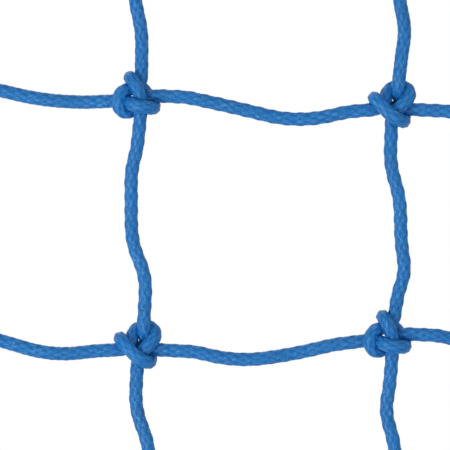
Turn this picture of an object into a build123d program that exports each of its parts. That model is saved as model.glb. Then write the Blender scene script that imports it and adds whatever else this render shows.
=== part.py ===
from build123d import *
import math
import os

# A square panel of knotted climbing net, hung by its top corners.
# The net lies in the XZ plane, its front faces -Y, and +Z is up.
# The origin is the middle of the panel. All sizes are in millimetres.

# ---- netting ----
CORD_D = 5.4  # braided netting cord
MESH = 100.0  # knot centre to knot centre
MESHES = 5  # meshes across, and meshes down
# ---- border ----
BORDER_D = 10.0  # border rope
THROAT = 20.0  # length of rope laid side by side under each corner eye
EYE_REACH = 28.0  # from the top of the throat to the centre of the thimble
THIMBLE_BORE = 18.0  # bore of the round thimble, diameter
THIMBLE_WALL = 3.0  # thimble wall under the rope
THIMBLE_WIDTH = 13.0
THIMBLE_RIM = 4.0  # rim height above the groove's bottom
SEIZING_LENGTH = 9.0
SEIZING_WALL = 2.0
THROAT_BEND = 12.0  # rope bend radius at both ends of the throat
CORNER_RUN = 12.0  # level rope that belongs to each corner, measured in from the side rope
# ---- cord eyes round the border rope ----
EYE_NECK = 18.0  # from the rope's middle to where the two cords lie together
NECK_BEND = 10.0  # cord bend radius where the eye closes
EYE_TAIL = 30.0  # from the rope's middle to the cut end of the cord
EYE_STEM = 33.0  # from the rope's middle to where the long cord turns back to the net's plane
WHIPPING_START = 20.0  # from the rope's middle to the winding that closes the eye
WHIPPING_LENGTH = 8.0
WHIPPING_WALL = 1.0
# ---- swing of the rows ----
SWING_DEG = 55.0  # each row swings this far, each way
GAP = 0.3  # clearance between touching pieces
CUT_LENGTH = 40.0  # half width of the tools that part two rows
CROSS_RUN = 9.0  # straight cord above and below each parting line
ROPE_STRAIGHT = 15.0  # straight border rope each side of a cord eye
ROPE_BOW = 1.5  # how far each cord draws the border rope in
LEG_BOW = 1.5  # bow of the upright cords between knot and parting line

KNOTS = MESHES - 1
HALF = MESHES * MESH / 2  # middle of the panel to the border rope

# Each knot lies a little off the even grid, (across, up), rows from the top.
KNOT_SHIFT = [
    [(2, 3), (-10, 2), (0, -1), (4, 2)],
    [(-4, 7), (-3.4, -1.4), (4, -1.2), (2, -4)],
    [(3, 4), (0.7, 0.9), (-1.3, 1.7), (-3, 2)],
    [(-2, -2), (3, 1), (7, -2), (1, 3)],
]
# Each upright cord's place across, off its grid line, where two rows part.
# The first line is between the top rope and the first row.
CROSS_SHIFT = [
    [1, -6, 3, 2],
    [-3, -3.5, 4, 5],
    [2, -4.5, 5, -2],
    [-3, 3, 3, 1],
    [1, 4, 6, -2],
]
# How each level cord sags between its knots, at one and two thirds of the way.
BAR_SAG = [
    [(-4, -5), (-4, -6), (-5, -3), (-4, -6), (-3, -4)],
    [(-5, -7), (-1, -4), (-3.6, -8), (-5, -3), (-4, -5)],
    [(-3, -6), (-2, -6), (-6.5, -4.5), (-3, -2), (-5, -4)],
    [(-6, -4), (-4, -5), (-5, -6), (-6, -4), (-2, -5)],
]

# The mesh knot is a sheet bend. Its points are in cord diameters:
# across, up, and towards the front.
# One cord comes in from the left, makes the bight and leaves downwards.
KNOT_BIGHT = [
    (-2.7, -0.55, -0.05),
    (-1.5, -0.6, -0.1),
    (-1.15, 0.2, -0.2),
    (-1.0, 1.15, -0.75),
    (0.0, 1.75, -1.05),
    (1.15, 1.35, -0.55),
    (1.25, 0.25, 0.2),
    (0.35, -0.75, 0.55),
    (-0.45, -1.5, 0.2),
    (-0.6, -2.7, 0.0),
]
# The other comes in from above, goes through the bight, round both of its
# legs, under itself, and leaves to the right.
KNOT_WRAP = [
    (0.1, 2.8, 0.3),
    (0.0, 1.2, 0.4),
    (0.05, 0.45, -0.3),
    (0.25, 0.3, -1.3),
    (0.45, -0.35, -2.0),
    (0.6, -1.45, -1.9),
    (0.65, -2.15, -1.0),
    (0.6, -2.3, 0.1),
    (0.35, -2.2, 1.05),
    (-0.5, -1.65, 1.45),
    (-1.4, -0.7, 1.35),
    (-2.2, 0.2, 1.0),
    (-2.55, 0.6, 0.0),
    (-2.1, 0.35, -1.1),
    (-1.1, -0.3, -1.45),
    (-0.2, -0.7, -0.95),
    (1.0, -0.75, -0.7),
    (2.8, -0.5, -0.5),
]
BEND_SHARE = 0.45  # share of the shorter run that each bend takes up
# Directions of the corners of a hexagon that an eye's round follows, in degrees.
EYE_TURNS = (120, 60, 0, -60, -120)
EYE_CORNER = 1 / math.cos(math.radians(30))  # a hexagon's corner, as a share of its middle radius

radii_used = []


def knot_centre(row, column):
    """Centre of a knot (x, z): row 0 is the top row, column 0 the left one."""
    across, up = KNOT_SHIFT[row][column]
    return (column + 1) * MESH - HALF + across, HALF - (row + 1) * MESH + up


def swing_height(row):
    """Height where the cords part above the given row of knots."""
    return HALF - (row + 0.5) * MESH


def crossing(row, column):
    """Where an upright cord crosses the parting line above a row (x, z)."""
    return (column + 1) * MESH - HALF + CROSS_SHIFT[row][column], swing_height(row)


def knot_points(row, column, from_above):
    """Points of one cord through a knot, from above to the right or from the left down."""
    x, z = knot_centre(row, column)
    turned_over = (row + column) % 2 == 0
    points = KNOT_WRAP if from_above != turned_over else KNOT_BIGHT
    placed = []
    for across, up, front in points:
        if turned_over:
            across, up, front = -up, -across, -front
        placed.append((x + across * CORD_D, -front * CORD_D, z + up * CORD_D))
    return placed


def bend_radii(points, tight=None):
    """Radius of the arc at each inner point; tight names the points with their own radius."""
    radii = []
    for i in range(1, len(points) - 1):
        before = Vector(*points[i]) - Vector(*points[i - 1])
        after = Vector(*points[i + 1]) - Vector(*points[i])
        half_turn = math.radians(before.get_angle(after)) / 2
        radius = BEND_SHARE * min(before.length, after.length) / math.tan(half_turn)
        if tight and i in tight:
            radius = tight[i]
        radii.append(radius)
    radii_used.extend(radii)
    return radii


def clear_radius(diameter):
    """Radius of the round end that lets one cord swing on the next without touching."""
    return (diameter / 2 + GAP) / math.cos(math.radians(SWING_DEG / 2))


def swing_cutters(row, diameter):
    """Tools that part the rows: one trims the piece above, one the piece below."""
    height = swing_height(row)
    radius = clear_radius(diameter)
    size = 2 * CUT_LENGTH
    width = 2 * HALF + 4 * BORDER_D
    with BuildPart() as trim_above:
        with Locations((0, 0, height - CUT_LENGTH)):
            Box(width, size, size)
        with Locations((0, 0, height)):
            Cylinder(radius, width, rotation=(0, 90, 0), mode=Mode.SUBTRACT)
    with BuildPart() as trim_below:
        with Locations((0, 0, height + CUT_LENGTH)):
            Box(width, size, size)
        with Locations((0, 0, height)):
            Cylinder(radius + GAP, width, rotation=(0, 90, 0))
    return trim_above.part, trim_below.part


def cord_eye(rope_place, outward):
    """Points of the eye that a cord's end makes round the border rope.

    rope_place is the rope's middle (x, z), and outward the direction (x, z)
    from the net to the rope. The cord arrives in front and comes back behind.
    """
    ring = BORDER_D / 2 + GAP + CORD_D / 2
    corner = ring * EYE_CORNER
    side = CORD_D / 2 + GAP / 2
    flat = [(-EYE_STEM, side), (-EYE_NECK, side)]
    for angle in EYE_TURNS:
        turn = math.radians(angle)
        flat.append((corner * math.cos(turn), corner * math.sin(turn)))
    flat.append((-EYE_NECK, -side))
    flat.append((-EYE_TAIL, -side))
    return [
        (rope_place[0] + out * outward[0], -front, rope_place[1] + out * outward[1])
        for out, front in flat
    ]


def between(a, b, share, drop=0.0):
    """A point part of the way from a to b, let down by drop."""
    return tuple(a[i] + (b[i] - a[i]) * share - (drop if i == 2 else 0) for i in range(3))


def leg_points(knot_end, place, below):
    """An upright cord's points from a knot to the parting line and a little past it."""
    x, z = place
    step = -CROSS_RUN if below else CROSS_RUN
    near = (x, 0, z - step)
    bowed = between(knot_end, near, 0.5)
    bowed = (bowed[0] + (LEG_BOW if below else -LEG_BOW), bowed[1], bowed[2])
    return [bowed, near, (x, 0, z + step)]


def twine_points(row, column):
    """Route of the cord between two knots of a row, with its corner through each knot."""
    if column == 0:
        eye = cord_eye(side_eye_place(row, -1), (-1, 0))
        points = eye[::-1]
    else:
        points = knot_points(row, column - 1, from_above=True)
        above = leg_points(points[0], crossing(row, column - 1), below=False)
        points = above[::-1] + points
    start = points[-1]
    if column == KNOTS:
        ending = cord_eye(side_eye_place(row, 1), (1, 0))
    else:
        ending = knot_points(row, column, from_above=False)
    first_sag, second_sag = BAR_SAG[row][column]
    if column in (0, KNOTS):
        points.append(between(start, ending[0], 1 / 2, -first_sag))
    else:
        points.append(between(start, ending[0], 1 / 3, -first_sag))
        points.append(between(start, ending[0], 2 / 3, -second_sag))
    points += ending
    if column < KNOTS:
        points += leg_points(ending[-1], crossing(row + 1, column), below=True)
    return points


def side_eye_place(row, side):
    """Middle of the side rope where a row's end cord goes round it (x, z)."""
    column = 0 if side < 0 else KNOTS - 1
    return side * (HALF - ROPE_BOW), knot_centre(row, column)[1]


def rope_corner(side, up):
    """Border rope's points round one corner eye, from the level rope to the upright rope."""
    middle = BORDER_D / 2 + GAP / 2
    wrap = THIMBLE_BORE / 2 + THIMBLE_WALL + GAP + BORDER_D / 2
    corner = wrap * EYE_CORNER
    shift = (THROAT - middle) * math.sqrt(0.5)
    flat = [(-THROAT, middle), (0, middle)]
    for angle in EYE_TURNS:
        turn = math.radians(angle)
        flat.append((EYE_REACH + corner * math.cos(turn), corner * math.sin(turn)))
    flat += [(0, -middle), (-THROAT, -middle)]
    points = []
    for along, across in flat:
        x = HALF + shift + (along - across) * math.sqrt(0.5)
        z = HALF + shift + (along + across) * math.sqrt(0.5)
        points.append((side * x, 0, up * z))
    return points


def corner_place(side, up, along):
    """A point on the corner's diagonal, measured from the top of the throat."""
    shift = (THROAT - BORDER_D / 2 - GAP / 2) * math.sqrt(0.5)
    reach = HALF + shift + along * math.sqrt(0.5)
    return side * reach, 0, up * reach


def end_rope_points(up):
    """Route of the top or bottom border rope, with both corner eyes.

    Also gives the points where the rope bends into and out of the throats.
    """
    row = 0 if up > 0 else KNOTS
    level = []
    for column in range(KNOTS):
        x = crossing(row, column)[0]
        level.append((x - ROPE_STRAIGHT, 0, up * (HALF - ROPE_BOW)))
        level.append((x + ROPE_STRAIGHT, 0, up * (HALF - ROPE_BOW)))
        if column < KNOTS - 1:
            middle = (x + crossing(row, column + 1)[0]) / 2
            level.append((middle, 0, up * HALF))
    left = rope_corner(-1, up)[::-1]
    right = rope_corner(1, up)
    height = swing_height(row)
    start = [(-HALF, 0, height - up * CROSS_RUN)]
    end = [(HALF, 0, height - up * CROSS_RUN)]
    points = start + left + level + right + end
    throats = []
    for first in (len(start), len(start + left + level)):
        last = first + len(left) - 1
        throats += [first, first + 1, last - 1, last]
    return points, throats


def end_trims(low, high):
    """Tools that leave only the rope between two places across the panel."""
    reach = 4 * HALF
    trims = []
    for edge, outward in ((low, -1), (high, 1)):
        with BuildPart() as trim:
            with Locations((edge + outward * reach / 2, 0, 0)):
                Box(reach, CUT_LENGTH, reach)
        trims.append(trim.part)
    return trims


def side_rope_points(row, side):
    """Route of one side rope past a row of knots."""
    x, z = side_eye_place(row, side)
    return [
        (side * HALF, 0, swing_height(row) + CROSS_RUN),
        (x, 0, z + ROPE_STRAIGHT),
        (x, 0, z - ROPE_STRAIGHT),
        (side * HALF, 0, swing_height(row + 1) - CROSS_RUN),
    ]


def export(piece, name):
    """Label a finished piece and write it to its own file."""
    piece.part.label = name
    export_step(piece.part, f"parts/{name}.step")


def neck_bends(count, at_start, at_end):
    """The points with the eye's own bend radius, in a route with an eye at either end."""
    bends = {}
    if at_start:
        bends.update({i: NECK_BEND for i in (1, 7, 8)})
    if at_end:
        bends.update({count - 1 - i: NECK_BEND for i in (1, 7, 8)})
    return bends


def thread(points, diameter, tools=(), tight=None):
    """A cord or rope along its route, trimmed by the tools where it meets the next row."""
    with BuildPart() as piece:
        with BuildLine() as route:
            FilletPolyline(*points, radius=bend_radii(points, tight))
        with BuildSketch(Plane(origin=route.line @ 0, z_dir=route.line % 0)):
            Circle(diameter / 2)
        sweep()
        for tool in tools:
            add(tool, mode=Mode.SUBTRACT)
    return piece


def binding(place, direction, spacing, diameter, length, wall):
    """A tight winding round two cords that lie side by side.

    direction is along the cords, and spacing the vector from one to the other.
    """
    plane = Plane(origin=place, x_dir=spacing, z_dir=direction)
    apart = Vector(*spacing).length
    with BuildPart() as piece:
        with BuildSketch(plane):
            SlotCenterToCenter(apart, diameter + 2 * GAP + 2 * wall)
            SlotCenterToCenter(apart, diameter + 2 * GAP, mode=Mode.SUBTRACT)
        extrude(amount=length / 2, both=True)
    return piece


def whippings(eyes, name):
    """The windings that close one body's cord eyes, as separate solids of one node."""
    side = CORD_D / 2 + GAP / 2
    along = WHIPPING_START + WHIPPING_LENGTH / 2
    with BuildPart() as group:
        for (x, z), (out_x, out_z) in eyes:
            place = (x - along * out_x, 0, z - along * out_z)
            direction = (out_x, 0, out_z)
            piece = binding(place, direction, (0, 2 * side, 0), CORD_D, WHIPPING_LENGTH, WHIPPING_WALL)
            add(piece.part)
    export(group, name)


def corner_eye(side, up, name):
    """The thimble and the seizing of one corner."""
    groove = BORDER_D / 2 + GAP
    bottom = THIMBLE_BORE / 2 + THIMBLE_WALL
    with BuildPart() as thimble:
        with BuildSketch(Plane(origin=corner_place(side, up, EYE_REACH), x_dir=(1, 0, 0), z_dir=(0, 0, 1))):
            with Locations((bottom / 2 + THIMBLE_BORE / 4 + THIMBLE_RIM / 2, 0)):
                Rectangle(bottom + THIMBLE_RIM - THIMBLE_BORE / 2, THIMBLE_WIDTH)
            with Locations((bottom + groove, 0)):
                Circle(groove, mode=Mode.SUBTRACT)
        revolve(axis=Axis(corner_place(side, up, EYE_REACH), (0, 1, 0)))
    export(thimble, f"{name}_thimble")
    middle = BORDER_D / 2 + GAP / 2
    seizing = binding(
        corner_place(side, up, -THROAT / 2),
        (side, 0, up),
        (-2 * middle * side * math.sqrt(0.5), 0, 2 * middle * up * math.sqrt(0.5)),
        BORDER_D,
        SEIZING_LENGTH,
        SEIZING_WALL,
    )
    export(seizing, f"{name}_seizing")


os.makedirs("parts", exist_ok=True)
cord_cutters = [swing_cutters(row, CORD_D) for row in range(MESHES)]
rope_cutters = [swing_cutters(row, BORDER_D) for row in range(MESHES)]

# ---- top and bottom ropes, with their corner eyes and upright cords ----
for end, up, row in (("top", 1, 0), ("bottom", -1, KNOTS)):
    which = 0 if up > 0 else 1
    route_points, throats = end_rope_points(up)
    inner, outer = HALF - CORNER_RUN, 2 * HALF
    for name, low, high in (
        (f"{end}_left_corner_rope", -outer, -inner),
        (f"{end}_rope", -inner, inner),
        (f"{end}_right_corner_rope", inner, outer),
    ):
        tools = [rope_cutters[row][which]] + end_trims(low, high)
        rope = thread(route_points, BORDER_D, tools, {i: THROAT_BEND for i in throats})
        export(rope, name)
    eyes = []
    for column in range(KNOTS):
        x, z = crossing(row, column)
        rope_place = (x, up * (HALF - ROPE_BOW))
        leg = cord_eye(rope_place, (0, up))[::-1]
        leg.append((x, 0, z + up * CROSS_RUN))
        leg.append((x, 0, z - up * CROSS_RUN))
        cord = thread(leg, CORD_D, [cord_cutters[row][which]], neck_bends(len(leg), True, False))
        export(cord, f"{end}_cord_{column + 1}")
        eyes.append((rope_place, (0, up)))
    whippings(eyes, f"{end}_whippings")
    corner_eye(-1, up, f"{end}_left")
    corner_eye(1, up, f"{end}_right")

# ---- rows of knots, from the top ----
for row in range(KNOTS):
    above, below = cord_cutters[row][1], cord_cutters[row + 1][0]
    for column in range(MESHES):
        tools = [above] if column == KNOTS else [below] if column == 0 else [above, below]
        route_points = twine_points(row, column)
        bends = neck_bends(len(route_points), column == 0, column == KNOTS)
        twine = thread(route_points, CORD_D, tools, bends)
        export(twine, f"row_{row + 1}_twine_{column + 1}")
    tools = [rope_cutters[row][1], rope_cutters[row + 1][0]]
    for side, side_name in ((-1, "left"), (1, "right")):
        side_rope = thread(side_rope_points(row, side), BORDER_D, tools)
        export(side_rope, f"row_{row + 1}_{side_name}_rope")
    eyes = [(side_eye_place(row, side), (side, 0)) for side in (-1, 1)]
    whippings(eyes, f"row_{row + 1}_whippings")

print("tightest bend radius", round(min(radii_used), 2), "of", len(radii_used), "bends")
print("radii", sorted(round(radius, 1) for radius in radii_used)[:40])
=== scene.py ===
"""Looks of a square panel of knotted climbing net, hung by its corner eyes."""
import logging
import math
from dataclasses import dataclass, field
from enum import Enum
from typing import Iterable, Sequence

import bpy
import numpy as np
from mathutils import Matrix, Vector


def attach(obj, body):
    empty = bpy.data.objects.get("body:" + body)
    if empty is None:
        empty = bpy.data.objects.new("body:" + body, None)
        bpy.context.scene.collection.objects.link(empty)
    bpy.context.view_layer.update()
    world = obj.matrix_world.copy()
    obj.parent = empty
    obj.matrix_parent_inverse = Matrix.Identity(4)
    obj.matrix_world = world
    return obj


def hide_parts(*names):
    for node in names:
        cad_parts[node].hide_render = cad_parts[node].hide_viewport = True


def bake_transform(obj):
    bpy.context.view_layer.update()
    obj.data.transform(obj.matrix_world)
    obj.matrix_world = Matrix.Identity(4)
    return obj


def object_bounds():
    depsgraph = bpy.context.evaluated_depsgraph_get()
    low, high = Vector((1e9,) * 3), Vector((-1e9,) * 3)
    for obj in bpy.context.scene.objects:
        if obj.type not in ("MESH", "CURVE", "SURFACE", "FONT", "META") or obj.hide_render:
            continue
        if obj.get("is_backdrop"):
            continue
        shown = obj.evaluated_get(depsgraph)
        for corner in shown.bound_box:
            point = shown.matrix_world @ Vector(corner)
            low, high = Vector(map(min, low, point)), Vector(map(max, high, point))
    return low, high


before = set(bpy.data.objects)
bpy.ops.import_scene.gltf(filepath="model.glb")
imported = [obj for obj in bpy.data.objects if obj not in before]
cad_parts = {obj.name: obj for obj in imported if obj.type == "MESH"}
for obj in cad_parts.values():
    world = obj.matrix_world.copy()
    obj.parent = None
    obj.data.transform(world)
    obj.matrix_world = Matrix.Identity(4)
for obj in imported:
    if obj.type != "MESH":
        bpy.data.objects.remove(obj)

logging.basicConfig(level=logging.INFO, format="%(message)s")
log = logging.getLogger("net")

MM = 0.001
TINY = 1e-9
HEXAGON = (120, 60, 0, -60, -120)  # directions of the corners that a round turn follows, degrees
COLOUR_MIX = {"factor": 0, "first": 6, "second": 7, "result": 2}  # sockets of a colour mix
RIDGE_HEIGHT = 0.0002  # metres
Place = tuple[float, float, float]
Colour = tuple[float, float, float]

# Each knot lies a little off the even grid, (across, up) in mm, rows from the top.
KNOT_SHIFT = (
    ((2, 3), (-10, 2), (0, -1), (4, 2)),
    ((-4, 7), (-3.4, -1.4), (4, -1.2), (2, -4)),
    ((3, 4), (0.7, 0.9), (-1.3, 1.7), (-3, 2)),
    ((-2, -2), (3, 1), (7, -2), (1, 3)),
)
# Each upright cord's place across, off its grid line, on the lines between the rows.
CROSS_SHIFT = ((1, -6, 3, 2), (-3, -3.5, 4, 5), (2, -4.5, 5, -2), (-3, 3, 3, 1), (1, 4, 6, -2))
# How the upright cords between the rows bow, in mm across: above the line, and below it.
LEG_BOW = (
    ((3, -2), (14, 2), (10, 3), (-2, 2)),
    ((-2, 2), (-2, 3), (-2, 4), (2, -3)),
    ((2, -2), (-3, 2), (-4, -3), (2, 1)),
)
# How each level cord sags between its knots, in mm, one and two thirds of the way.
BAR_SAG = (
    ((-4, -5), (-4, -6), (-5, -3), (-4, -6), (-3, -4)),
    ((-5, -7), (3, -1), (-3.6, -8), (-5, -3), (-4, -5)),
    ((-3, -6), (-2, -6), (-6.5, -4.5), (-3, -2), (-5, -4)),
    ((-6, -4), (-4, -5), (-5, -6), (-6, -4), (-2, -5)),
)
# The mesh knot is a sheet bend: across, up and towards the front, in cord diameters.
KNOT_BIGHT = (
    (-2.7, -0.55, -0.05),
    (-1.5, -0.6, -0.1),
    (-1.15, 0.2, -0.2),
    (-1.0, 1.15, -0.75),
    (0.0, 1.75, -1.05),
    (1.15, 1.35, -0.55),
    (1.25, 0.25, 0.2),
    (0.35, -0.75, 0.55),
    (-0.45, -1.5, 0.2),
    (-0.6, -2.7, 0.0),
)
KNOT_WRAP = (
    (0.1, 2.8, 0.3),
    (0.0, 1.2, 0.4),
    (0.05, 0.45, -0.3),
    (0.25, 0.3, -1.3),
    (0.45, -0.35, -2.0),
    (0.6, -1.45, -1.9),
    (0.65, -2.15, -1.0),
    (0.6, -2.3, 0.1),
    (0.35, -2.2, 1.05),
    (-0.5, -1.65, 1.45),
    (-1.4, -0.7, 1.35),
    (-2.2, 0.2, 1.0),
    (-2.55, 0.6, 0.0),
    (-2.1, 0.35, -1.1),
    (-1.1, -0.3, -1.45),
    (-0.2, -0.7, -0.95),
    (1.0, -0.75, -0.7),
    (2.8, -0.5, -0.5),
)


class Strand(Enum):
    """The two jobs that a twine can have in every knot it runs through."""

    LOOP = "makes the bights"
    WRAP = "wraps the bights"


# ---------------------------------------------------------------- finishes


def noise(nodes: bpy.types.Nodes, scale: float, detail: float) -> bpy.types.Node:
    """Add a noise texture with its scale and detail set."""
    node = nodes.new("ShaderNodeTexNoise")
    node.inputs["Scale"].default_value = scale
    node.inputs["Detail"].default_value = detail
    return node


def ramp(nodes: bpy.types.Nodes, low: tuple[float, Colour], high: tuple[float, Colour]) -> bpy.types.Node:
    """Add a colour ramp between two colours, each with its place from 0 to 1."""
    node = nodes.new("ShaderNodeValToRGB")
    for element, (place, colour) in zip(node.color_ramp.elements, (low, high)):
        element.position = place
        element.color = (*colour, 1)
    return node


def map_range(
    nodes: bpy.types.Nodes, to: tuple[float, float], start: tuple[float, float] = (0.0, 1.0)
) -> bpy.types.Node:
    """Add a node that maps one range of values to another."""
    node = nodes.new("ShaderNodeMapRange")
    for name, value in zip(("From Min", "From Max", "To Min", "To Max"), (*start, *to)):
        node.inputs[name].default_value = value
    return node


def ridges(nodes: bpy.types.Nodes, strength: float) -> bpy.types.Node:
    """Add a bump node for fine ridges."""
    node = nodes.new("ShaderNodeBump")
    node.inputs["Strength"].default_value = strength
    node.inputs["Distance"].default_value = RIDGE_HEIGHT
    return node


@dataclass(frozen=True)
class FibreFinish:
    """Glossy spun fibre: a braid's or a twine's own colour, with painted shade in its valleys and painted
    glints.

    Attributes are the colour on the crowns, the painted shade colour in the valleys and the painted glint
    colour, the roughness, how finely the filaments lie across and along a strand, how deep they are, and
    how strongly they shine.
    """

    name: str
    crown: Colour
    # The valley colour is painted shade for the plait's valleys.
    painted_valley_shade: Colour
    # The glint colour is a painted highlight on the filaments.
    painted_glint: Colour
    roughness: float = 0.34
    filaments: float = 9.0
    length_share: float = 0.35
    bump: float = 0.45
    shine: float = 0.28

    def material(self) -> bpy.types.Material:
        """Build the node material.

        Returns:
            The material, coloured from each vertex's place on its strand: painted shade in the valleys,
            the cord's own colour on the crowns, and painted glints.
        """
        mat = bpy.data.materials.new(self.name)
        mat.use_nodes = True
        nodes, links = mat.node_tree.nodes, mat.node_tree.links
        shader = nodes["Principled BSDF"]
        place = nodes.new("ShaderNodeAttribute")
        place.attribute_name = "fibre"
        scale = nodes.new("ShaderNodeVectorMath")
        scale.operation = "MULTIPLY"
        scale.inputs[1].default_value = (self.filaments, self.length_share, 0.0)
        links.new(place.outputs["Vector"], scale.inputs[0])
        hairs = noise(nodes, 1.0, 3.0)
        hairs.inputs["Roughness"].default_value = 0.6
        links.new(scale.outputs[0], hairs.inputs["Vector"])
        split = nodes.new("ShaderNodeSeparateXYZ")
        links.new(place.outputs["Vector"], split.inputs[0])
        # Painted shade: the plait's valleys are painted darker than its crowns, by each point's height on
        # its strand.
        painted_shade_ramp = ramp(nodes, (0.30, self.painted_valley_shade), (0.92, self.crown))
        links.new(split.outputs["Z"], painted_shade_ramp.inputs["Fac"])
        # Painted glints: bright streaks from the filament noise are mixed into the colour.
        painted_glint_mask = map_range(nodes, to=(0.0, 1.0), start=(0.50, 0.72))
        links.new(hairs.outputs["Fac"], painted_glint_mask.inputs["Value"])
        mix = nodes.new("ShaderNodeMix")
        mix.data_type = "RGBA"
        mix.inputs[COLOUR_MIX["second"]].default_value = (*self.painted_glint, 1)
        links.new(painted_glint_mask.outputs["Result"], mix.inputs[COLOUR_MIX["factor"]])
        links.new(painted_shade_ramp.outputs["Color"], mix.inputs[COLOUR_MIX["first"]])
        wear = noise(nodes, 55.0, 2.0)
        spots = nodes.new("ShaderNodeTexCoord")
        links.new(spots.outputs["Object"], wear.inputs["Vector"])
        tone = nodes.new("ShaderNodeHueSaturation")
        worn = map_range(nodes, to=(0.82, 1.18))
        links.new(wear.outputs["Fac"], worn.inputs["Value"])
        links.new(worn.outputs["Result"], tone.inputs["Value"])
        links.new(mix.outputs[COLOUR_MIX["result"]], tone.inputs["Color"])
        links.new(tone.outputs["Color"], shader.inputs["Base Color"])
        gloss = map_range(nodes, to=(self.roughness - 0.10, self.roughness + 0.14))
        links.new(hairs.outputs["Fac"], gloss.inputs["Value"])
        links.new(gloss.outputs["Result"], shader.inputs["Roughness"])
        ridge = ridges(nodes, self.bump)
        links.new(hairs.outputs["Fac"], ridge.inputs["Height"])
        links.new(ridge.outputs["Normal"], shader.inputs["Normal"])
        shader.inputs["Specular IOR Level"].default_value = self.shine
        return mat


@dataclass(frozen=True)
class MouldedFinish:
    """Moulded nylon of the thimbles, with fine texture and scuffs."""

    name: str
    colour: Colour
    scuffed: Colour
    roughness: float = 0.42
    grain_depth: float = 0.2

    def material(self) -> bpy.types.Material:
        """Build the node material.

        Returns:
            The material.
        """
        mat = bpy.data.materials.new(self.name)
        mat.use_nodes = True
        nodes, links = mat.node_tree.nodes, mat.node_tree.links
        shader = nodes["Principled BSDF"]
        where = nodes.new("ShaderNodeTexCoord")
        grain = noise(nodes, 900.0, 4.0)
        links.new(where.outputs["Object"], grain.inputs["Vector"])
        scuff = noise(nodes, 120.0, 6.0)
        links.new(where.outputs["Object"], scuff.inputs["Vector"])
        worn = ramp(nodes, (0.45, self.colour), (0.72, self.scuffed))
        links.new(scuff.outputs["Fac"], worn.inputs["Fac"])
        links.new(worn.outputs["Color"], shader.inputs["Base Color"])
        gloss = map_range(nodes, to=(self.roughness - 0.08, self.roughness + 0.15))
        links.new(scuff.outputs["Fac"], gloss.inputs["Value"])
        links.new(gloss.outputs["Result"], shader.inputs["Roughness"])
        ridge = ridges(nodes, self.grain_depth)
        links.new(grain.outputs["Fac"], ridge.inputs["Height"])
        links.new(ridge.outputs["Normal"], shader.inputs["Normal"])
        return mat


# ---------------------------------------------------------------- lines


def smooth_line(points: Sequence[Sequence[float]], step: float) -> np.ndarray:
    """A smooth line through a route, read from a NURBS spline at even steps.

    Args:
        points: the route's control points, in mm.
        step: distance between the points that come back, in mm.

    Returns:
        The line's points, in mm.
    """
    curve = bpy.data.curves.new("route", "CURVE")
    curve.dimensions = "3D"
    spline = curve.splines.new("NURBS")
    spline.points.add(len(points) - 1)
    for point, place in zip(spline.points, points):
        point.co = (*place, 1)
    spline.order_u = 3
    spline.use_endpoint_u = True
    spline.resolution_u = 12
    holder = bpy.data.objects.new("route", curve)
    bpy.context.scene.collection.objects.link(holder)
    mesh = bpy.data.meshes.new_from_object(holder)
    found = np.array([v.co[:] for v in mesh.vertices], float)
    bpy.data.objects.remove(holder)
    bpy.data.curves.remove(curve)
    bpy.data.meshes.remove(mesh)
    return even_line(found, step)


def even_line(points: np.ndarray, step: float) -> np.ndarray:
    """The same line with its points at even steps.

    Args:
        points: points along the line.
        step: wanted distance between points.

    Returns:
        The new points, ends kept.
    """
    gaps = np.linalg.norm(np.diff(points, axis=0), axis=1)
    along = np.concatenate([[0.0], np.cumsum(gaps)])
    count = max(int(round(along[-1] / step)) + 1, 3)
    where = np.linspace(0, along[-1], count)
    return np.stack([np.interp(where, along, points[:, k]) for k in range(3)], axis=1)


def frames_along(line: np.ndarray) -> tuple[np.ndarray, np.ndarray, np.ndarray]:
    """Directions that turn as little as they can along a line.

    Args:
        line: points of the line.

    Returns:
        The tangent, side and top directions at each point.
    """
    tangent = np.gradient(line, axis=0)
    tangent /= np.linalg.norm(tangent, axis=1)[:, None]
    side = np.zeros_like(line)
    start = np.array([0.0, 1.0, 0.0]) if abs(tangent[0][1]) < 0.9 else np.array([1.0, 0.0, 0.0])
    side[0] = np.cross(tangent[0], start)
    side[0] /= np.linalg.norm(side[0])
    for i in range(1, len(line)):
        kept = side[i - 1] - tangent[i] * (side[i - 1] @ tangent[i])
        side[i] = kept / np.linalg.norm(kept)
    return tangent, side, np.cross(tangent, side)


def line_length(line: np.ndarray) -> float:
    """Length of a line of points."""
    return float(np.linalg.norm(np.diff(line, axis=0), axis=1).sum())


def round_turn(radius: float) -> list[tuple[float, float]]:
    """Corners of a hexagon that holds a round turn of the given radius, open at the back."""
    corner = radius / math.cos(math.radians(30))
    turns = [math.radians(angle) for angle in HEXAGON]
    return [(corner * math.cos(turn), corner * math.sin(turn)) for turn in turns]


@dataclass
class Skin:
    """The surface of one cord: rings of points, and each point's place on its strand."""

    rings: np.ndarray
    fibre: np.ndarray

    def part(self, first: int, last: int) -> "Skin":
        """The rings from first to last, both kept."""
        return Skin(self.rings[first : last + 1], self.fibre[first : last + 1])


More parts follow.
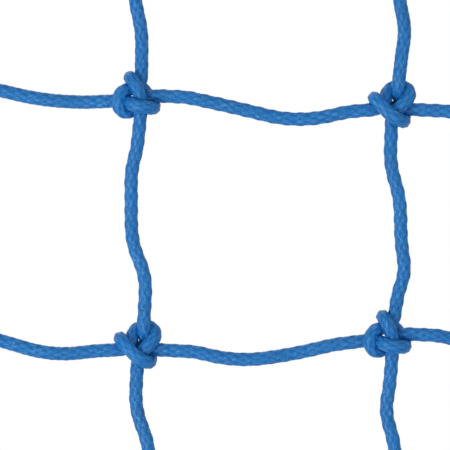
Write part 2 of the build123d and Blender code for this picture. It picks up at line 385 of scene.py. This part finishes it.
@dataclass(frozen=True)
class Braid:
    """A plaited round cord.

    Attributes are its diameter, the strands that turn each way, the length of
    one turn, the depth of the plait, and how finely its surface is made.
    """

    diameter: float
    strands: int
    pitch: float
    relief: float
    around: int
    step: float

    def skin(self, line: np.ndarray) -> Skin:
        """The plaited surface along a line.

        Args:
            line: the cord's middle, in mm, at even steps.

        Returns:
            The surface, in mm.
        """
        _, side, top = frames_along(line)
        gaps = np.linalg.norm(np.diff(line, axis=0), axis=1)
        along = np.concatenate([[0.0], np.cumsum(gaps)])[:, None]
        turn = np.linspace(0, 1, self.around, endpoint=False)[None, :]
        a = self.strands * (turn + along / self.pitch)
        b = self.strands * (turn - along / self.pitch)
        height_a, across_a = self.lie(a, b, 1.0)
        height_b, across_b = self.lie(b, a, -1.0)
        a_on_top = height_a >= height_b
        height = np.where(a_on_top, height_a, height_b)
        low, high = -0.75, 1.0
        level = np.clip((height - low) / (high - low), 0, 1)
        radius = self.diameter / 2 - self.relief * (1 - level)
        angle = 2 * math.pi * turn
        out = side[:, None, :] * np.cos(angle)[..., None] + top[:, None, :] * np.sin(angle)[..., None]
        rings = line[:, None, :] + out * radius[..., None]
        across = np.where(a_on_top, across_a + np.floor(a) * 3.7, across_b + np.floor(b) * 5.3)
        lengthwise = np.broadcast_to(along, across.shape)
        return Skin(rings, np.stack([across, lengthwise, level], axis=2))

    @staticmethod
    def lie(own: np.ndarray, other: np.ndarray, sign: float) -> tuple[np.ndarray, np.ndarray]:
        """How high one set of strands lies as it goes over and under the other.

        Args:
            own: place across the set's own strands, one unit a strand.
            other: place across the strands that it crosses.
            sign: 1 for the set that starts on top, -1 for the other.

        Returns:
            The height, and the place across the strand from -0.5 to 0.5.
        """
        across = own - np.floor(own) - 0.5
        crown = np.sqrt(np.clip(1 - (1.9 * across) ** 2, 0, 1))
        parity = 1 - 2 * np.mod(np.floor(own), 2)
        wave = sign * parity * np.sin(math.pi * other)
        return 0.55 * wave + 0.45 * crown - (1 - crown) * 0.35, across


def skin_object(
    name: str, skin: Skin, material: bpy.types.Material, caps: tuple[bool, bool]
) -> bpy.types.Object:
    """A mesh piece from a cord's surface.

    Args:
        name: the piece's name.
        skin: the surface, in mm.
        material: its finish.
        caps: whether the start and the end are closed with a rounded tip.

    Returns:
        The piece, in metres.
    """
    rings, fibre = skin.rings, skin.fibre
    count, around = rings.shape[:2]
    verts = list(rings.reshape(-1, 3))
    marks = list(fibre.reshape(-1, 3))
    i, j = np.meshgrid(np.arange(count - 1), np.arange(around), indexing="ij")
    k = (j + 1) % around
    near, far = i * around, (i + 1) * around
    quads = np.stack([near + j, near + k, far + k, far + j], axis=2)
    faces = [tuple(q) for q in quads.reshape(-1, 4).tolist()]
    for closed, ring, nextto, first in ((caps[0], 0, 1, True), (caps[1], count - 1, count - 2, False)):
        middle = rings[ring].mean(axis=0)
        outward = middle - rings[nextto].mean(axis=0)
        outward /= np.linalg.norm(outward)
        radius = np.linalg.norm(rings[ring] - middle, axis=1).mean()
        bulge = 0.35 * radius if closed else -0.2 * radius
        previous = [ring * around + n for n in range(around)]
        for share in (0.8, 0.45):
            base = len(verts)
            lift = bulge * math.sqrt(1 - share * share) if closed else bulge * (1 - share)
            verts += list(middle + (rings[ring] - middle) * share + outward * lift)
            marks += list(fibre[ring])
            current = [base + n for n in range(around)]
            for n in range(around):
                m = (n + 1) % around
                quad = (previous[n], current[n], current[m], previous[m])
                faces.append(quad if not first else quad[::-1])
            previous = current
        faces.append(tuple(previous[::-1] if first else previous))
    mesh = bpy.data.meshes.new(name)
    mesh.from_pydata((np.array(verts) * MM).tolist(), [], faces)
    layer = mesh.attributes.new("fibre", "FLOAT_VECTOR", "POINT")
    layer.data.foreach_set("vector", np.array(marks, np.float32).ravel())
    mesh.polygons.foreach_set("use_smooth", [True] * len(mesh.polygons))
    mesh.materials.append(material)
    mesh.update()
    piece = bpy.data.objects.new(name, mesh)
    bpy.context.scene.collection.objects.link(piece)
    return piece


# ---------------------------------------------------------------- netting


@dataclass(frozen=True)
class KnotPull:
    """Draws two loosely laid cords of a knot tight, the way hauling on its legs does.

    Attributes are the rounds of pulling, the spacing of the points in cord
    diameters, how hard each cord pulls and resists bending, how near two
    cords' middles may come in diameters, how many times touching cords are
    parted in a round, how many rounds pass between even respacings, and the
    length of cord, in diameters, that doesn't count as touching itself.
    """

    rounds: int = 420
    spacing: float = 0.24
    pull: float = 0.14
    stiff: float = 0.02
    squeeze: float = 0.90
    partings: int = 3
    respace: int = 6
    own_length: float = 1.45

    def tighten(self, lines: list[np.ndarray]) -> list[np.ndarray]:
        """Pull the cords tight with their ends held.

        Args:
            lines: the two cords' middles, in cord diameters.

        Returns:
            The tight cords' middles.
        """
        cords = [even_line(line, self.spacing) for line in lines]
        for turn in range(self.rounds):
            for cord in cords:
                bend = cord[:-2] - 2 * cord[1:-1] + cord[2:]
                full = np.zeros_like(cord)
                full[1:-1] = bend
                cord[1:-1] += self.pull * bend
                cord[1:-1] -= self.stiff * (full[:-2] - 2 * full[1:-1] + full[2:])
            for _ in range(self.partings):
                self.part_touching(cords)
            if turn % self.respace == self.respace - 1:
                cords = [even_line(cord, self.spacing) for cord in cords]
        return cords

    def part_touching(self, cords: list[np.ndarray]) -> None:
        """Move points that are nearer than the squeeze allows apart, in place.

        Args:
            cords: the cords' middles, in diameters; their ends stay.
        """
        points = np.concatenate(cords)
        owner = np.concatenate([np.full(len(cord), n) for n, cord in enumerate(cords)])
        order = np.concatenate([np.arange(len(cord)) for cord in cords])
        apart = points[:, None] - points[None]
        gap = np.sqrt((apart**2).sum(axis=2)) + TINY
        beside = np.abs(order[:, None] - order[None]) * self.spacing < self.own_length
        same = (owner[:, None] == owner[None]) & beside
        press = np.where(same | (gap >= self.squeeze), 0, self.squeeze - gap)
        shares = np.maximum((press > 0).sum(axis=1), 1)
        push = (apart * (press / gap)[:, :, None]).sum(axis=1)
        move = push * 0.5 / np.sqrt(shares)[:, None]
        start = 0
        for cord in cords:
            shift = move[start : start + len(cord)].copy()
            shift[0] = shift[-1] = 0
            cord += shift
            start += len(cord)


@dataclass
class Twine:
    """One twine's run through the net: its job in the knots, its control points and its knots."""

    name: str
    from_above: bool
    strand: Strand
    points: list[Place] = field(default_factory=list)
    knots: list[tuple[int, int]] = field(default_factory=list)


@dataclass
class CordEye:
    """The eye that a cord's end makes round the border rope, sizes in mm."""

    cord: float = 5.4
    rope: float = 10.0
    gap: float = 0.3
    stem: float = 33.0
    neck: float = 18.0
    lead: float = 6.0
    tail: float = 30.0

    @property
    def side(self) -> float:
        """Half the spacing of the two cords in the neck."""
        return self.cord / 2 + self.gap / 2

    def points(self, place: tuple[float, float], outward: tuple[float, float]) -> list[Place]:
        """Route of the eye, from the net to the cut end.

        Args:
            place: the rope's middle (x, z).
            outward: direction (x, z) from the net to the rope.

        Returns:
            The points, in mm.
        """
        closed = -self.neck - self.lead
        flat = [(-self.stem, self.side), (closed, self.side), (-self.neck, self.side)]
        flat += round_turn(self.rope / 2 + self.gap + self.cord / 2)
        flat += [(-self.neck, -self.side), (closed, -self.side), (-self.tail, -self.side)]
        (x, z), (out_x, out_z) = place, outward
        return [(x + out * out_x, -front, z + out * out_z) for out, front in flat]


@dataclass
class Netting:
    """The knotted twines of the panel, sizes in mm."""

    cord: float = 5.4
    mesh: float = 100.0
    knots: int = 4
    rope_bow: float = 1.5
    cross_run: float = 9.0
    end_bow: float = 3.0
    bend_reach: float = 24.0
    seam_up: float = 2.3
    knot_reach: float = 3.9
    soft_rounds: int = 14
    braid: Braid = Braid(diameter=5.7, strands=6, pitch=34.0, relief=0.85, around=48, step=0.58)
    finish: FibreFinish = FibreFinish(
        name="netting_cord",
        crown=(0.003, 0.185, 0.560),
        # Painted shade colour for the plait's valleys.
        painted_valley_shade=(0.0003, 0.030, 0.140),
        # Painted highlight colour for the glints.
        painted_glint=(0.120, 0.420, 0.860),
    )
    eye: CordEye = field(default_factory=CordEye)
    pull: KnotPull = field(default_factory=KnotPull)

    @property
    def half(self) -> float:
        """Middle of the panel to the border rope."""
        return (self.knots + 1) * self.mesh / 2

    @property
    def bodies(self) -> list[str]:
        """The moving bodies from the top down."""
        return ["root", *(f"row_{row + 1}" for row in range(self.knots)), "bottom"]

    def knot_centre(self, row: int, column: int) -> tuple[float, float]:
        """Centre of a knot (x, z)."""
        across, up = KNOT_SHIFT[row][column]
        return (column + 1) * self.mesh - self.half + across, self.half - (row + 1) * self.mesh + up

    def crossing(self, row: int, column: int) -> tuple[float, float]:
        """Where an upright cord crosses the line above a row (x, z)."""
        x = (column + 1) * self.mesh - self.half + CROSS_SHIFT[row][column]
        return x, self.half - (row + 0.5) * self.mesh

    def side_place(self, row: int, side: int) -> tuple[float, float]:
        """Middle of the side rope where a row's end cord goes round it (x, z)."""
        column = 0 if side < 0 else self.knots - 1
        return side * (self.half - self.rope_bow), self.knot_centre(row, column)[1]

    def end_place(self, up: int, column: int) -> tuple[float, float]:
        """Middle of the top or bottom rope where an upright cord goes round it (x, z)."""
        row = 0 if up > 0 else self.knots
        return self.crossing(row, column)[0], up * (self.half - self.rope_bow)

    def knot_points(self, row: int, column: int, strand: Strand) -> list[Place]:
        """Points of one cord through a knot.

        Args:
            row: the knot's row from the top.
            column: its column from the left.
            strand: the cord's job in the knot.

        Returns:
            The points, in mm.
        """
        x, z = self.knot_centre(row, column)
        placed = []
        for across, up, front in KNOT_WRAP if strand is Strand.WRAP else KNOT_BIGHT:
            if (row + column) % 2 == 0:  # this knot is turned over
                across, up, front = -up, -across, -front
            placed.append((x + across * self.cord, -front * self.cord, z + up * self.cord))
        return placed

    def leg(self, top: Place, bottom: Place, row: int, column: int) -> list[Place]:
        """Points of an upright cord between two knots.

        Args:
            top: its last held place above.
            bottom: its first held place below.
            row: the row below it.
            column: its column.

        Returns:
            The points, in mm.
        """
        x, z = self.crossing(row, column)
        upper, lower = LEG_BOW[row - 1][column]
        high = ((top[0] + x) / 2 + upper, top[1] / 2, (top[2] + z + self.cross_run) / 2)
        low = ((bottom[0] + x) / 2 + lower, bottom[1] / 2, (bottom[2] + z - self.cross_run) / 2)
        return [high, (x, 0, z + self.cross_run), (x, 0, z - self.cross_run), low]

    def end_leg(self, place: Place, row: int, column: int) -> list[Place]:
        """Points of an upright cord between a knot and an end rope's eye.

        Args:
            place: its nearest held place in the knot.
            row: 0 for the top, or the number of rows for the bottom.
            column: its column.

        Returns:
            The points, in mm, from above to below.
        """
        x, z = self.crossing(row, column)
        bow = self.end_bow if row else -self.end_bow
        bowed = ((place[0] + x) / 2, place[1] / 2, (place[2] + z) / 2 + bow)
        straight = [(x, 0, z + self.cross_run), (x, 0, z - self.cross_run)]
        return [bowed, *straight] if row else [*straight, bowed]

    @staticmethod
    def bar(start: Place, end: Place, sag: tuple[float, float], thirds: bool) -> list[Place]:
        """Points of a level cord between two held places.

        Args:
            start: its first held place.
            end: its next held place.
            sag: how far it is let down at each third, in mm.
            thirds: whether it has both points, or only one in the middle.

        Returns:
            The points, in mm.
        """
        shares = ((1 / 3, sag[0]), (2 / 3, sag[1])) if thirds else ((1 / 2, sag[0]),)
        found = []
        for share, fall in shares:
            x, y, z = (start[k] + (end[k] - start[k]) * share for k in range(3))
            found.append((x, y, z + fall))
        return found

    def twine(self, name: str, row: int, column: int, from_above: bool) -> Twine:
        """Lay one twine as a staircase from the border it starts at.

        Args:
            name: the twine's name.
            row: row of its first knot.
            column: column of its first knot.
            from_above: whether it starts at the top rope or the left rope.

        Returns:
            The twine, with its control points.
        """
        turned = (row + column) % 2 == 0
        twine = Twine(name, from_above, Strand.LOOP if from_above == turned else Strand.WRAP)
        if from_above:
            start = self.eye.points(self.end_place(1, column), (0, 1))
        else:
            start = self.eye.points(self.side_place(row, -1), (-1, 0))
        points = start[::-1]
        falling = from_above
        while row < self.knots and column < self.knots:
            knot = self.knot_points(row, column, twine.strand)
            if not falling:
                points += self.bar(points[-1], knot[0], BAR_SAG[row][column], thirds=column > 0)
            elif row == 0:
                points += self.end_leg(knot[0], row, column)
            else:
                points += self.leg(points[-1], knot[0], row, column)
            points += knot
            twine.knots.append((row, column))
            row, column = (row, column + 1) if falling else (row + 1, column)
            falling = not falling
        if column == self.knots:
            ending = self.eye.points(self.side_place(row, 1), (1, 0))
            points += self.bar(points[-1], ending[0], BAR_SAG[row][column], thirds=False)
        else:
            ending = self.eye.points(self.end_place(-1, column), (0, -1))
            points += self.end_leg(points[-1], row, column)
        twine.points = points + ending
        return twine

    def lay(self) -> list[tuple[Twine, np.ndarray]]:
        """Lay every twine and draw every knot tight.

        Returns:
            Each twine, with the line of its middle in mm.
        """
        twines = [self.twine(f"from_top_{c + 1}", 0, c, True) for c in range(self.knots)]
        twines += [self.twine(f"from_left_{r + 1}", r, 0, False) for r in range(self.knots)]
        fine = self.pull.spacing * self.cord
        lines = {t.name: smooth_line(t.points, fine) for t in twines}
        for row in range(self.knots):
            for column in range(self.knots):
                joined = [t.name for t in twines if (row, column) in t.knots]
                self.tighten_knot(row, column, joined, lines)
        return [(t, even_line(lines[t.name], self.braid.step)) for t in twines]

    def tighten_knot(self, row: int, column: int, joined: list[str], lines: dict[str, np.ndarray]) -> None:
        """Draw one knot tight and put its cords back in their twines' lines.

        Args:
            row: the knot's row.
            column: its column.
            joined: names of the two twines in it.
            lines: every twine's line, changed in place.
        """
        x, z = self.knot_centre(row, column)
        centre = np.array([x, 0, z])
        spans = []
        for name in joined:
            far = np.linalg.norm(lines[name] - centre, axis=1)
            near = np.where(far < self.knot_reach * self.cord)[0]
            spans.append((name, near[0], near[-1]))
        loose = [(lines[name][a : b + 1] - centre) / self.cord for name, a, b in spans]
        for (name, a, b), cord in zip(spans, self.pull.tighten(loose)):
            line = lines[name]
            lines[name] = np.concatenate([line[:a], cord * self.cord + centre, line[b + 1 :]])

    def build(self) -> list[bpy.types.Object]:
        """Make every piece of twine.

        Returns:
            The pieces.
        """
        material = self.finish.material()
        pieces = []
        for twine, line in self.lay():
            line = self.soften(line)
            log.info("%s: %.0f mm of cord", twine.name, line_length(line))
            pieces += self.pieces_of(twine, line, self.braid.skin(line), material)
        return pieces

    def soften(self, line: np.ndarray) -> np.ndarray:
        """Smooth the joins between a laid line and its tightened knots.

        Args:
            line: the twine's middle, in mm.

        Returns:
            The smoother line, at even steps.
        """
        for _ in range(self.soft_rounds):
            line[1:-1] = 0.25 * line[:-2] + 0.5 * line[1:-1] + 0.25 * line[2:]
        return even_line(line, self.braid.step)

    def seam(self, line: np.ndarray, row: int, column: int, below: bool) -> int:
        """The ring where an upright cord enters a knot from above, or leaves one below.

        Args:
            line: the twine's middle, in mm.
            row: the knot's row.
            column: its column.
            below: whether the ring wanted is the one below the knot.

        Returns:
            The ring's number along the line.
        """
        x, z = self.knot_centre(row, column)
        height = z + (-1 if below else 1) * self.seam_up * self.cord
        beside = np.abs(line[:, 0] - x) < 0.4 * self.mesh
        level = np.abs(line[:, 2] - z) < 0.45 * self.mesh
        near = np.where(beside & level)[0]
        falls = [i for i in near[:-1] if (line[i, 2] - height) * (line[i + 1, 2] - height) <= 0]
        return falls[-1] if below else falls[0]

    def pieces_of(
        self, twine: Twine, line: np.ndarray, skin: Skin, material: bpy.types.Material
    ) -> list[bpy.types.Object]:
        """Cut one twine's surface into the pieces that ride on each row.

        Args:
            twine: the twine.
            line: its middle, in mm.
            skin: its surface.
            material: its finish.

        Returns:
            The pieces.
        """
        end = len(line) - 1
        row, column = twine.knots[0]
        cuts: list[tuple[str, int, int, bool]] = []  # node, body's number, last ring, whether it bends
        if twine.from_above:
            cuts.append((f"top_cord_{column + 1}", 0, self.seam(line, row, column, False), True))
            column += 1
        while column < self.knots and row < self.knots - 1:
            last = self.seam(line, row + 1, column, False)
            cuts.append((f"row_{row + 1}_twine_{column + 1}", row + 1, last, True))
            row += 1
            column += 1
        last = end if column == self.knots else self.seam(line, row, column, True)
        cuts.append((f"row_{row + 1}_twine_{column + 1}", row + 1, last, False))
        if column < self.knots:
            cuts.append((f"bottom_cord_{column + 1}", self.knots, end, True))
        pieces = []
        first = 0
        for node, body, last, bends in cuts:
            caps = (first == 0, last == end)
            piece = skin_object(f"{node}_braid", skin.part(first, last), material, caps)
            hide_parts(node)
            if bends:
                self.bend(piece, body)
            else:
                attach(piece, self.bodies[body])
            pieces.append(piece)
            first = last
        return pieces

    def bend(self, piece: bpy.types.Object, upper: int) -> None:
        """Bake a piece's placement into its mesh.

        Args:
            piece: the piece.
            upper: the number of the upper body, 0 for the top; not used.
        """
        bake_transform(piece)


# ---------------------------------------------------------------- border


@dataclass(frozen=True)
class Winding:
    """A tight winding of thin line round two cords that lie side by side.

    Attributes are the line's diameter in mm, its turns, and how finely its
    surface and its path are made.
    """

    line: float
    turns: int
    around: int = 8
    per_turn: int = 36
    slack: float = 0.05
    spread_out: float = 1.02

    def build(
        self,
        name: str,
        middle: np.ndarray,
        along: np.ndarray,
        spread: np.ndarray,
        cord: float,
        material: bpy.types.Material,
    ) -> bpy.types.Object:
        """Wind the line.

        Args:
            name: the piece's name.
            middle: middle of the winding.
            along: direction along the cords, of length 1.
            spread: vector from one cord's middle to the other's.
            cord: the cords' diameter.
            material: the line's finish.

        Returns:
            The piece.
        """
        apart = np.linalg.norm(spread)
        across = spread / apart
        through = np.cross(along, across)
        radius = cord / 2 + self.line / 2 + self.slack
        points = []
        total = self.turns * self.per_turn
        for step in range(total + 1):
            flat = self.round_pair(step / self.per_turn % 1, apart, radius)
            shift = (step / total - 0.5) * self.turns * self.line * self.spread_out
            points.append(middle + across * flat[0] + through * flat[1] + along * shift)
        path = np.array(points)
        log.info("%s: %.0f mm of line", name, line_length(path))
        twist = Braid(self.line, 3, self.line * 3.2, self.line * 0.14, self.around, 1.0)
        return skin_object(name, twist.skin(path), material, (True, True))

    @staticmethod
    def round_pair(share: float, apart: float, radius: float) -> tuple[float, float]:
        """A place on the path round two cords.

        Args:
            share: how much of the round is done, from 0 to 1.
            apart: distance between the cords' middles.
            radius: from a cord's middle to the line's middle.

        Returns:
            The place across the pair and through it.
        """
        arc = math.pi * radius
        run = share * 2 * (apart + arc)
        if run < apart:
            return run - apart / 2, radius
        if run < apart + arc:
            turn = (run - apart) / radius
            return apart / 2 + radius * math.sin(turn), radius * math.cos(turn)
        if run < 2 * apart + arc:
            return apart / 2 - (run - apart - arc), -radius
        turn = (run - 2 * apart - arc) / radius
        return -apart / 2 - radius * math.sin(turn), -radius * math.cos(turn)


@dataclass
class Border:
    """The border rope with its corner eyes, sizes in mm."""

    netting: Netting
    diameter: float = 10.0
    gap: float = 0.3
    throat: float = 20.0
    throat_lead: float = 5.0
    throat_inset: float = 3.0
    throat_top: float = 2.0
    eye_reach: float = 28.0
    thimble_bore: float = 18.0
    thimble_wall: float = 3.0
    straight: float = 15.0
    braid: Braid = Braid(diameter=10.1, strands=8, pitch=56.0, relief=1.1, around=64, step=0.9)
    finish: FibreFinish = FibreFinish(
        name="border_rope",
        crown=(0.003, 0.165, 0.500),
        # Painted shade colour for the plait's valleys.
        painted_valley_shade=(0.0003, 0.026, 0.120),
        # Painted highlight colour for the glints.
        painted_glint=(0.100, 0.360, 0.760),
        filaments=12.0,
    )
    twine_finish: FibreFinish = FibreFinish(
        name="whipping_twine",
        crown=(0.004, 0.070, 0.260),
        # Painted shade colour for the plait's valleys.
        painted_valley_shade=(0.001, 0.020, 0.095),
        # Painted highlight colour for the glints.
        painted_glint=(0.030, 0.180, 0.450),
        roughness=0.42,
        filaments=4.0,
    )
    thimble_finish: MouldedFinish = MouldedFinish("thimble", (0.018, 0.018, 0.020), (0.055, 0.055, 0.058))
    seizing: Winding = Winding(line=1.9, turns=5)
    whipping: Winding = Winding(line=1.0, turns=8)

    @property
    def side(self) -> float:
        """Half the spacing of the two ropes in a throat."""
        return self.diameter / 2 + self.gap / 2

    @property
    def shift(self) -> float:
        """How far out of the border's own corner a throat's top lies, across and up."""
        return (self.throat - self.side) * math.sqrt(0.5)

    def corner(self, side: int, up: int) -> list[Place]:
        """Points of the rope round one corner eye, from the level rope to the upright rope.

        Args:
            side: -1 for the left, 1 for the right.
            up: 1 for the top, -1 for the bottom.

        Returns:
            The points, in mm.
        """
        level = [
            (-self.throat - self.throat_lead, self.side + self.throat_lead),
            (-self.throat + self.throat_inset, self.side),
            (-self.throat_top, self.side),
        ]
        upright = [(along, -across) for along, across in level[::-1]]
        wrap = self.thimble_bore / 2 + self.thimble_wall + self.gap + self.diameter / 2
        ring = [(self.eye_reach + along, across) for along, across in round_turn(wrap)]
        points = []
        for along, across in level + ring + upright:
            x = self.netting.half + self.shift + (along - across) * math.sqrt(0.5)
            z = self.netting.half + self.shift + (along + across) * math.sqrt(0.5)
            points.append((side * x, 0.0, up * z))
        return points

    def corner_place(self, side: int, up: int, along: float) -> np.ndarray:
        """A point on a corner's diagonal, measured from the top of the throat."""
        reach = self.netting.half + self.shift + along * math.sqrt(0.5)
        return np.array([side * reach, 0.0, up * reach])

    def end_rope(self, up: int) -> list[Place]:
        """Control points of the top or bottom rope, with both corner eyes.

        Args:
            up: 1 for the top, -1 for the bottom.

        Returns:
            The points from left to right, in mm.
        """
        net = self.netting
        level = []
        for column in range(net.knots):
            x, z = net.end_place(up, column)
            level += [(x - self.straight, 0.0, z), (x, 0.0, z), (x + self.straight, 0.0, z)]
            if column < net.knots - 1:
                level.append(((x + net.end_place(up, column + 1)[0]) / 2, 0.0, up * net.half))
        return self.corner(-1, up)[::-1] + level + self.corner(1, up)

    def side_run(self, side: int) -> list[Place]:
        """Control points of one side rope.

        Args:
            side: -1 for the left, 1 for the right.

        Returns:
            The points from top to bottom, in mm.
        """
        net = self.netting
        points = []
        for row in range(net.knots):
            x, z = net.side_place(row, side)
            points.append((side * net.half, 0.0, net.crossing(row, 0)[1]))
            points += [(x, 0.0, z + self.straight), (x, 0.0, z), (x, 0.0, z - self.straight)]
        points.append((side * net.half, 0.0, net.crossing(net.knots, 0)[1]))
        return points

    def loop(self) -> list[Place]:
        """Control points of the whole rope, once round the panel from the left of the top row."""
        left = self.side_run(-1)
        points = left[2::-1] + self.end_rope(1) + self.side_run(1)
        return points + self.end_rope(-1)[::-1] + left[:1:-1]

    def build(self) -> list[bpy.types.Object]:
        """Make the rope, its seizings, its thimbles' finish and the cord eyes' whippings.

        Returns:
            The pieces.
        """
        line = smooth_line(self.loop(), self.braid.step)
        log.info("border rope: %.0f mm of rope", line_length(line))
        pieces = self.rope_pieces(line, self.braid.skin(line), self.finish.material())
        thin = self.twine_finish.material()
        pieces += self.seizings(thin)
        pieces += self.whippings(thin)
        self.dress_thimbles()
        return pieces

    def dress_thimbles(self) -> None:
        """Give the thimbles their moulded finish."""
        moulded = self.thimble_finish.material()
        for name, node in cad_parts.items():
            if name.endswith("_thimble"):
                node.data.materials.clear()
                node.data.materials.append(moulded)

    def ring_at(self, line: np.ndarray, side: int, row: int) -> int:
        """The ring of the rope under a row's end eye."""
        x, z = self.netting.side_place(row, side)
        return int(np.argmin(np.linalg.norm(line - np.array([x, 0, z]), axis=1)))

    def rope_pieces(
        self, line: np.ndarray, skin: Skin, material: bpy.types.Material
    ) -> list[bpy.types.Object]:
        """Cut the rope at the end eyes of each row.

        Args:
            line: the rope's middle, in mm.
            skin: its surface.
            material: its finish.

        Returns:
            The pieces.
        """
        net = self.netting
        right = [self.ring_at(line, 1, row) for row in range(net.knots)]
        left = [self.ring_at(line, -1, row) for row in range(net.knots)]
        left_ends = [len(line) - 1, *left[1:]]
        corners = ("left_corner_rope", "rope", "right_corner_rope")
        spans = [("top_rope", [f"top_{part}" for part in corners], 0, right[0], 0)]
        for row in range(net.knots - 1):
            name = f"row_{row + 1}"
            rope = f"{name}_right_rope"
            spans.append((rope, [rope], right[row], right[row + 1], row + 1))
            rope = f"{name}_left_rope"
            spans.append((rope, [rope], left[row + 1], left_ends[row], row + 1))
        nodes = [f"row_{net.knots}_right_rope", f"row_{net.knots}_left_rope"]
        nodes += [f"bottom_{part}" for part in corners]
        spans.append(("bottom_rope", nodes, right[-1], left[-1], net.knots))
        pieces = []
        for name, nodes, first, last, body in spans:
            piece = skin_object(f"{name}_braid", skin.part(first, last), material, (False, False))
            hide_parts(*nodes)
            net.bend(piece, body)
            pieces.append(piece)
        return pieces

    def seizings(self, material: bpy.types.Material) -> list[bpy.types.Object]:
        """Wind the seizing of each corner eye.

        Args:
            material: the line's finish.

        Returns:
            The pieces.
        """
        pieces = []
        for end, up, body in (("top", 1, "root"), ("bottom", -1, "bottom")):
            for name, side in (("left", -1), ("right", 1)):
                node = f"{end}_{name}_seizing"
                piece = self.seizing.build(
                    f"{node}_winding",
                    self.corner_place(side, up, -self.throat / 2),
                    np.array([side, 0.0, up]) * math.sqrt(0.5),
                    np.array([-side, 0.0, up]) * math.sqrt(0.5) * 2 * self.side,
                    self.diameter,
                    material,
                )
                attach(piece, body)
                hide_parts(node)
                pieces.append(piece)
        return pieces

    def whippings(self, material: bpy.types.Material) -> list[bpy.types.Object]:
        """Wind the whipping of each cord eye.

        Args:
            material: the twine's finish.

        Returns:
            The pieces.
        """
        net = self.netting
        eyes = {
            end: [(net.end_place(up, column), (0, up)) for column in range(net.knots)]
            for end, up in (("top", 1), ("bottom", -1))
        }
        for row in range(net.knots):
            eyes[f"row_{row + 1}"] = [(net.side_place(row, side), (side, 0)) for side in (-1, 1)]
        middle = net.eye.neck + net.eye.lead
        spread = np.array([0.0, 2 * net.eye.side, 0.0])
        pieces = []
        for group, places in eyes.items():
            for number, ((x, z), (out_x, out_z)) in enumerate(places):
                place = np.array([x - middle * out_x, 0.0, z - middle * out_z])
                along = np.array([out_x, 0.0, out_z], float)
                name = f"{group}_whipping_{number + 1}"
                piece = self.whipping.build(name, place, along, spread, net.cord, material)
                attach(piece, "root" if group == "top" else group)
                if number == 0:
                    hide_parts(f"{group}_whippings")
                pieces.append(piece)
        return pieces


# ---------------------------------------------------------------- surroundings


@dataclass(frozen=True)
class Lamp:
    """A square soft light: its name, place in metres, power in watts and side in metres."""

    name: str
    place: Place
    power: float
    size: float

    def build(self) -> None:
        """Place the light so that it faces the net."""
        data = bpy.data.lights.new(self.name, "AREA")
        data.energy = self.power
        data.size = self.size
        lamp = bpy.data.objects.new(self.name, data)
        lamp.location = self.place
        lamp.rotation_euler = (-Vector(self.place)).to_track_quat("-Z", "Y").to_euler()
        bpy.context.scene.collection.objects.link(lamp)


@dataclass
class Studio:
    """Floor, lights and camera, sizes in metres."""

    view_width: float = 0.1829
    look_at: Place = (-0.0164, 0.0, -0.0016)
    distance: float = 1.6
    sensor: float = 36.0
    near_clip: float = 0.01
    floor_drop: float = 0.12
    floor_half: float = 3.0
    floor_rough: float = 0.9
    white: tuple[float, float, float] = (0.95, 0.95, 0.95)
    glow: float = 0.55
    lamps: tuple[Lamp, ...] = (
        Lamp("key", (-0.9, -1.1, -0.35), 11.0, 0.4),
        Lamp("fill", (0.9, -1.2, 0.9), 2.0, 0.9),
        Lamp("rim", (-0.5, 1.1, 1.0), 3.0, 0.8),
    )

    def build(self) -> None:
        """Place the floor, the lights and the camera."""
        self.floor()
        self.world()
        for lamp in self.lamps:
            lamp.build()
        self.camera()

    def floor(self) -> None:
        """Lay a plain pale floor below the hanging net."""
        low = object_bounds()[0][2] - self.floor_drop
        signs = ((-1, -1), (1, -1), (1, 1), (-1, 1))
        corners = [(x * self.floor_half, y * self.floor_half, low) for x, y in signs]
        mesh = bpy.data.meshes.new("floor")
        mesh.from_pydata(corners, [], [(0, 1, 2, 3)])
        mat = bpy.data.materials.new("floor")
        mat.use_nodes = True
        shader = mat.node_tree.nodes["Principled BSDF"]
        shader.inputs["Base Color"].default_value = (*self.white, 1)
        shader.inputs["Roughness"].default_value = self.floor_rough
        mesh.materials.append(mat)
        floor = bpy.data.objects.new("floor", mesh)
        bpy.context.scene.collection.objects.link(floor)
        floor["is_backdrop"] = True

    def world(self) -> None:
        """Set white surroundings that light the net more softly than they look."""
        world = bpy.data.worlds.new("studio")
        world.use_nodes = True
        nodes, links = world.node_tree.nodes, world.node_tree.links
        background = nodes["Background"]
        background.inputs["Color"].default_value = (1, 1, 1, 1)
        seen = nodes.new("ShaderNodeLightPath")
        level = map_range(nodes, to=(self.glow, 1.0))
        links.new(seen.outputs["Is Camera Ray"], level.inputs["Value"])
        links.new(level.outputs["Result"], background.inputs["Strength"])
        bpy.context.scene.world = world

    def camera(self) -> None:
        """Stand a camera with a long lens square on to the net."""
        data = bpy.data.cameras.new("camera")
        data.sensor_width = self.sensor
        data.lens = self.sensor * self.distance / self.view_width
        data.clip_start = self.near_clip
        camera = bpy.data.objects.new("camera", data)
        camera.location = Vector(self.look_at) - Vector((0, self.distance, 0))
        camera.rotation_euler = (math.pi / 2, 0, 0)
        bpy.context.scene.collection.objects.link(camera)
        bpy.context.scene.camera = camera


def main() -> None:
    """Build the net and its surroundings."""
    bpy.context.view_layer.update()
    netting = Netting()
    for piece in netting.build() + Border(netting).build():
        log.info("%s: %d faces", piece.name, len(piece.data.polygons))
    Studio().build()
    bpy.context.scene.view_settings.view_transform = "Standard"


if __name__ == "__main__":
    main()
